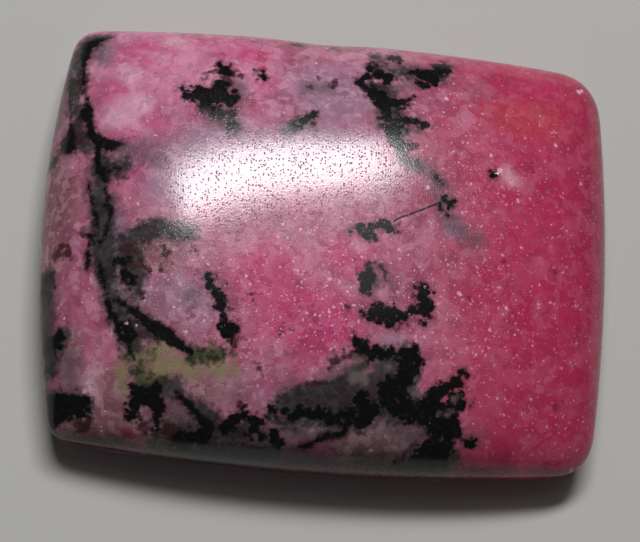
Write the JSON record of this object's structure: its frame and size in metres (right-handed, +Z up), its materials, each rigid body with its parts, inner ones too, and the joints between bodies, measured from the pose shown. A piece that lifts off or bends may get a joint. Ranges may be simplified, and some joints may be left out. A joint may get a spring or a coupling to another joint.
{
  "type": "polished rhodonite cabochon",
  "caption": "Rectangular cushion cabochon of pink rhodonite with black veins: domed top, short upright girdle, flat back.",
  "frame": {"origin": "middle of the stone's box on the plane of its flat back", "axes": "+Z up through the dome, +X along the long side, +Y across it"},
  "size_m": [0.025, 0.0196, 0.006],
  "materials": {
    "rhodonite": "polished"
  },
  "bodies": {
    "root": {"stone": "rhodonite"}
  },
  "joints": []
}
